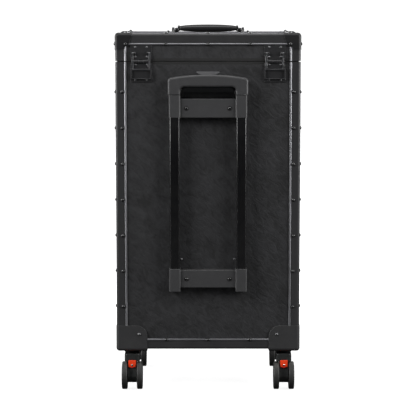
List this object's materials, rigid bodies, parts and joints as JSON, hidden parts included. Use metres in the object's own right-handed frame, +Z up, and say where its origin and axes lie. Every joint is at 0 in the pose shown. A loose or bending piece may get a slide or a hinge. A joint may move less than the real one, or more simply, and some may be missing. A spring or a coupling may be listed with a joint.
{
  "type": "rolling makeup train case",
  "caption": "Upright rolling makeup train case with hinged lid, sliding tray, drawers, telescopic trolley handle, folding carry handle and swivel casters.",
  "frame": {"origin": "on the floor, under the middle of the case", "axes": "+Z up; +Y to the rear, where the trolley handle is; +X to the right seen from the front"},
  "size_m": [0.3748, 0.2964, 0.7329],
  "materials": {
    "leatherette": "embossed black leatherette on board",
    "edge_extrusion": "satin black anodised extrusion",
    "silver_trim": "bright bead",
    "guard_plastic": "moulded, fine texture",
    "black_rivets": "gloss black domes",
    "steel_screws": "zinc plated",
    "black_steel": "black plated pressing",
    "trolley_plastic": "moulded charcoal plastic",
    "trolley_tube": "gloss black tube",
    "inner_tube": "satin drawn tube",
    "release_button": "smooth moulded button",
    "handle_plastic": "gloss black moulding",
    "frame_wood": "black painted hardwood rails",
    "liner_board": "flock lined board",
    "tray_plastic": "vacuum formed tray",
    "slide_metal": "rolled channel",
    "caster_plastic": "moulded nylon",
    "caster_tyre": "polyurethane tread",
    "orange_button": "orange moulding"
  },
  "bodies": {
    "case_body": {"back_panel": "leatherette", "side_panels": "leatherette", "front_panels": "leatherette", "bottom_panel": "leatherette", "compartment_floor": "liner_board", "front_frame": "frame_wood", "slide_rails_and_ledges": "slide_metal", "body_edges": "edge_extrusion", "body_trim": "silver_trim", "body_rim": "edge_extrusion", "corner_guards": "guard_plastic", "body_rivets": "black_rivets", "guard_screws": "steel_screws", "body_hinge_leaves": "black_steel", "latch_bases": "black_steel", "trolley_top_bracket": "trolley_plastic", "trolley_bottom_bracket": "trolley_plastic", "trolley_outer_rails": "trolley_tube"},
    "lid": {"lid_top_panel": "leatherette", "lid_skirt": "leatherette", "lid_rim": "edge_extrusion", "lid_edges": "edge_extrusion", "lid_trim": "silver_trim", "lid_corners": "black_steel", "lid_rivets": "black_rivets", "lid_hinge_leaves": "black_steel", "handle_brackets": "black_steel", "latch_keepers": "black_steel"},
    "lid_stays": {"lid_stays": "steel_screws"},
    "carry_handle": {"carry_handle": "handle_plastic"},
    "left_latch": {"left_latch_bolt": "black_steel"},
    "right_latch": {"right_latch_bolt": "black_steel"},
    "trolley_middle": {"trolley_middle_tubes": "inner_tube"},
    "trolley_handle": {"trolley_inner_tubes": "inner_tube", "trolley_grip": "trolley_plastic", "trolley_grip_cover": "trolley_plastic"},
    "trolley_button": {"trolley_button": "release_button"},
    "sliding_tray": {"sliding_tray": "tray_plastic"},
    "bottom_drawer": {"bottom_drawer_tray": "tray_plastic", "bottom_drawer_front": "leatherette", "bottom_drawer_pull": "black_steel"},
    "middle_drawer": {"middle_drawer_tray": "tray_plastic", "middle_drawer_front": "leatherette", "middle_drawer_pull": "black_steel"},
    "top_drawer": {"top_drawer_tray": "tray_plastic", "top_drawer_front": "leatherette", "top_drawer_pull": "black_steel"},
    "rear_left_caster": {"rear_left_caster_fork": "caster_plastic"},
    "rear_left_caster_wheels": {"rear_left_caster_wheels": "caster_tyre"},
    "rear_left_caster_button": {"rear_left_caster_button": "orange_button"},
    "rear_right_caster": {"rear_right_caster_fork": "caster_plastic"},
    "rear_right_caster_wheels": {"rear_right_caster_wheels": "caster_tyre"},
    "rear_right_caster_button": {"rear_right_caster_button": "orange_button"},
    "front_left_caster": {"front_left_caster_fork": "caster_plastic"},
    "front_left_caster_wheels": {"front_left_caster_wheels": "caster_tyre"},
    "front_left_caster_button": {"front_left_caster_button": "orange_button"},
    "front_right_caster": {"front_right_caster_fork": "caster_plastic"},
    "front_right_caster_wheels": {"front_right_caster_wheels": "caster_tyre"},
    "front_right_caster_button": {"front_right_caster_button": "orange_button"}
  },
  "joints": [
    {"name": "lid_hinge", "type": "hinge", "parent": "case_body", "child": "lid", "pos_m": [0, 0.1274, 0.661], "axis": [1, 0, 0], "range_deg": [-95, 0]},
    {"name": "lid_stay_swing", "type": "hinge", "parent": "lid", "child": "lid_stays", "pos_m": [0, 0.1287, 0.677], "axis": [1, 0, 0], "range_deg": [0, 69]},
    {"name": "carry_handle_fold", "type": "hinge", "parent": "lid", "child": "carry_handle", "pos_m": [0, 0, 0.7225], "axis": [1, 0, 0], "range_deg": [0, 90]},
    {"name": "trolley_first_stage", "type": "slide", "parent": "case_body", "child": "trolley_middle", "axis": [0, 0, 1], "range_m": [0, 0.2]},
    {"name": "trolley_second_stage", "type": "slide", "parent": "trolley_middle", "child": "trolley_handle", "axis": [0, 0, 1], "range_m": [0, 0.2]},
    {"name": "trolley_release", "type": "slide", "parent": "trolley_handle", "child": "trolley_button", "axis": [0, 0, -1], "range_m": [0, 0.004], "stiffness_N_per_m": 800, "springref_m": -0.004},
    {"name": "tray_slide", "type": "slide", "parent": "case_body", "child": "sliding_tray", "axis": [0, 1, 0], "range_m": [0, 0.11]},
    {"name": "left_latch_slide", "type": "slide", "parent": "case_body", "child": "left_latch", "axis": [0, 0, 1], "range_m": [0, 0.008]},
    {"name": "right_latch_slide", "type": "slide", "parent": "case_body", "child": "right_latch", "axis": [0, 0, 1], "range_m": [0, 0.008]},
    {"name": "bottom_drawer_slide", "type": "slide", "parent": "case_body", "child": "bottom_drawer", "axis": [0, -1, 0], "range_m": [0, 0.19]},
    {"name": "middle_drawer_slide", "type": "slide", "parent": "case_body", "child": "middle_drawer", "axis": [0, -1, 0], "range_m": [0, 0.19]},
    {"name": "top_drawer_slide", "type": "slide", "parent": "case_body", "child": "top_drawer", "axis": [0, -1, 0], "range_m": [0, 0.19]},
    {"name": "rear_left_caster_swivel", "type": "hinge", "parent": "case_body", "child": "rear_left_caster", "pos_m": [-0.153, 0.094, 0.0735], "axis": [0, 0, 1], "continuous": true},
    {"name": "rear_left_caster_roll", "type": "hinge", "parent": "rear_left_caster", "child": "rear_left_caster_wheels", "pos_m": [-0.153, 0.112, 0.028], "axis": [1, 0, 0], "continuous": true},
    {"name": "rear_left_caster_release", "type": "slide", "parent": "rear_left_caster", "child": "rear_left_caster_button", "axis": [0, -1, 0], "range_m": [0, 0.0025], "stiffness_N_per_m": 1000, "springref_m": -0.001},
    {"name": "rear_right_caster_swivel", "type": "hinge", "parent": "case_body", "child": "rear_right_caster", "pos_m": [0.153, 0.094, 0.0735], "axis": [0, 0, 1], "continuous": true},
    {"name": "rear_right_caster_roll", "type": "hinge", "parent": "rear_right_caster", "child": "rear_right_caster_wheels", "pos_m": [0.153, 0.112, 0.028], "axis": [1, 0, 0], "continuous": true},
    {"name": "rear_right_caster_release", "type": "slide", "parent": "rear_right_caster", "child": "rear_right_caster_button", "axis": [0, -1, 0], "range_m": [0, 0.0025], "stiffness_N_per_m": 1000, "springref_m": -0.001},
    {"name": "front_left_caster_swivel", "type": "hinge", "parent": "case_body", "child": "front_left_caster", "pos_m": [-0.153, -0.094, 0.0735], "axis": [0, 0, 1], "continuous": true},
    {"name": "front_left_caster_roll", "type": "hinge", "parent": "front_left_caster", "child": "front_left_caster_wheels", "pos_m": [-0.153, -0.112, 0.028], "axis": [1, 0, 0], "continuous": true},
    {"name": "front_left_caster_release", "type": "slide", "parent": "front_left_caster", "child": "front_left_caster_button", "axis": [0, 1, 0], "range_m": [0, 0.0025], "stiffness_N_per_m": 1000, "springref_m": -0.001},
    {"name": "front_right_caster_swivel", "type": "hinge", "parent": "case_body", "child": "front_right_caster", "pos_m": [0.153, -0.094, 0.0735], "axis": [0, 0, 1], "continuous": true},
    {"name": "front_right_caster_roll", "type": "hinge", "parent": "front_right_caster", "child": "front_right_caster_wheels", "pos_m": [0.153, -0.112, 0.028], "axis": [1, 0, 0], "continuous": true},
    {"name": "front_right_caster_release", "type": "slide", "parent": "front_right_caster", "child": "front_right_caster_button", "axis": [0, 1, 0], "range_m": [0, 0.0025], "stiffness_N_per_m": 1000, "springref_m": -0.001}
  ],
  "couplings": [
    {"joint": "lid_stay_swing", "follows": "lid_hinge", "ratio": -0.7253}
  ]
}
